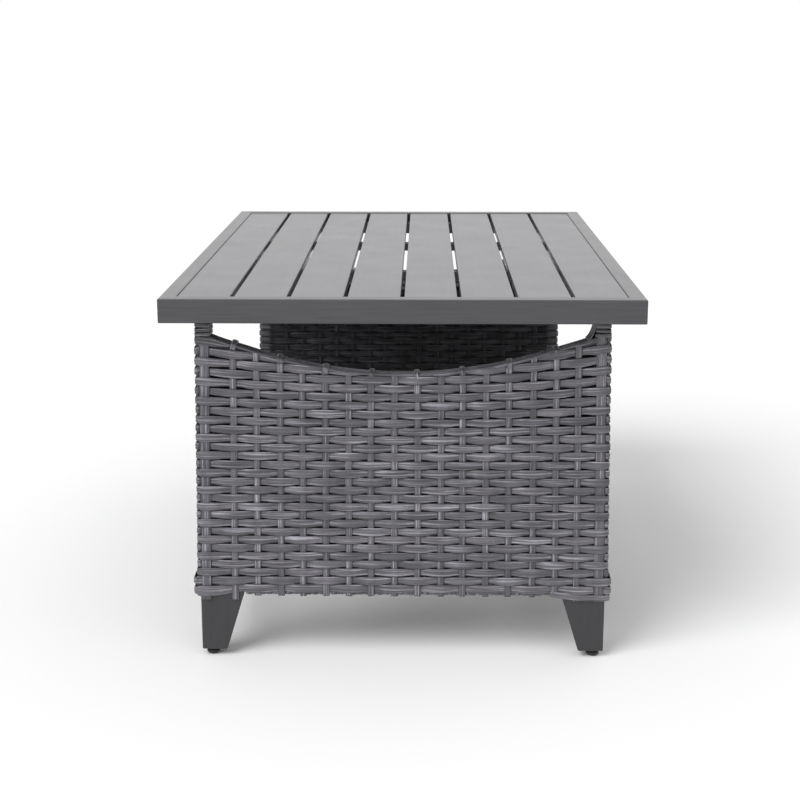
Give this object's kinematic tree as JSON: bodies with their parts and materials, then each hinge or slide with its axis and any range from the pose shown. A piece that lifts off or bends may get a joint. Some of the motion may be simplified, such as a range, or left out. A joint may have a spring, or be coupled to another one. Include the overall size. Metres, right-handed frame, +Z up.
{
  "type": "coffee table",
  "caption": "Garden coffee table with a slatted metal top, woven wicker end panels with scooped upper edges, tapered legs and screw-in levelling glides.",
  "frame": {"origin": "on the ground, under the middle of the top", "axes": "+X across the table, +Y along its length, +Z up"},
  "size_m": [0.61, 0.914, 0.494],
  "materials": {
    "tabletop": "satin powder coat",
    "frame": "satin powder coat",
    "wicker": "woven synthetic cane",
    "glide": "matte",
    "fastener": "zinc plated"
  },
  "bodies": {
    "table": {"top_rail_front": "tabletop", "top_rail_back": "tabletop", "top_rail_left": "tabletop", "top_rail_right": "tabletop", "slat_1": "tabletop", "slat_2": "tabletop", "slat_3": "tabletop", "slat_4": "tabletop", "slat_5": "tabletop", "slat_6": "tabletop", "slat_7": "tabletop", "slat_8": "tabletop", "crossbar_front": "frame", "crossbar_back": "frame", "bearer_front": "frame", "bearer_back": "frame", "slat_screws": "fastener", "post_plates": "frame", "top_bolts": "fastener", "post_front_left": "frame", "post_front_right": "frame", "post_back_left": "frame", "post_back_right": "frame", "rim_tube_front": "frame", "bottom_rail_front": "frame", "rim_tube_back": "frame", "bottom_rail_back": "frame", "stretcher_left": "frame", "stretcher_right": "frame", "stakes_front": "wicker", "weave_front": "wicker", "inner_weave_front": "wicker", "rim_wrap_front": "wicker", "hem_wrap_front": "wicker", "stakes_back": "wicker", "weave_back": "wicker", "inner_weave_back": "wicker", "rim_wrap_back": "wicker", "hem_wrap_back": "wicker", "post_wrap_front_left": "wicker", "post_wrap_front_right": "wicker", "post_wrap_back_left": "wicker", "post_wrap_back_right": "wicker", "stretcher_wrap_left": "wicker", "stretcher_wrap_right": "wicker", "leg_front_left": "frame", "leg_front_right": "frame", "leg_back_left": "frame", "leg_back_right": "frame", "glide_inserts": "fastener"},
    "foot_front_left": {"glide_pad_front_left": "glide"},
    "stud_front_left": {"glide_stud_front_left": "fastener"},
    "foot_front_right": {"glide_pad_front_right": "glide"},
    "stud_front_right": {"glide_stud_front_right": "fastener"},
    "foot_back_left": {"glide_pad_back_left": "glide"},
    "stud_back_left": {"glide_stud_back_left": "fastener"},
    "foot_back_right": {"glide_pad_back_right": "glide"},
    "stud_back_right": {"glide_stud_back_right": "fastener"}
  },
  "joints": [
    {"name": "foot_drop_front_left", "type": "slide", "parent": "table", "child": "foot_front_left", "axis": [0, 0, -1], "range_m": [0, 0.006]},
    {"name": "stud_turn_front_left", "type": "hinge", "parent": "foot_front_left", "child": "stud_front_left", "pos_m": [-0.25575, -0.4, 0.0083], "axis": [0, 0, -1], "range_deg": [0, 1730]},
    {"name": "foot_drop_front_right", "type": "slide", "parent": "table", "child": "foot_front_right", "axis": [0, 0, -1], "range_m": [0, 0.006]},
    {"name": "stud_turn_front_right", "type": "hinge", "parent": "foot_front_right", "child": "stud_front_right", "pos_m": [0.25575, -0.4, 0.0083], "axis": [0, 0, -1], "range_deg": [0, 1730]},
    {"name": "foot_drop_back_left", "type": "slide", "parent": "table", "child": "foot_back_left", "axis": [0, 0, -1], "range_m": [0, 0.006]},
    {"name": "stud_turn_back_left", "type": "hinge", "parent": "foot_back_left", "child": "stud_back_left", "pos_m": [-0.25575, 0.4, 0.0083], "axis": [0, 0, -1], "range_deg": [0, 1730]},
    {"name": "foot_drop_back_right", "type": "slide", "parent": "table", "child": "foot_back_right", "axis": [0, 0, -1], "range_m": [0, 0.006]},
    {"name": "stud_turn_back_right", "type": "hinge", "parent": "foot_back_right", "child": "stud_back_right", "pos_m": [0.25575, 0.4, 0.0083], "axis": [0, 0, -1], "range_deg": [0, 1730]}
  ],
  "couplings": [
    {"joint": "stud_turn_front_left", "follows": "foot_drop_front_left", "rad_per_m": 5026.5},
    {"joint": "stud_turn_front_right", "follows": "foot_drop_front_right", "rad_per_m": 5026.5},
    {"joint": "stud_turn_back_left", "follows": "foot_drop_back_left", "rad_per_m": 5026.5},
    {"joint": "stud_turn_back_right", "follows": "foot_drop_back_right", "rad_per_m": 5026.5}
  ]
}
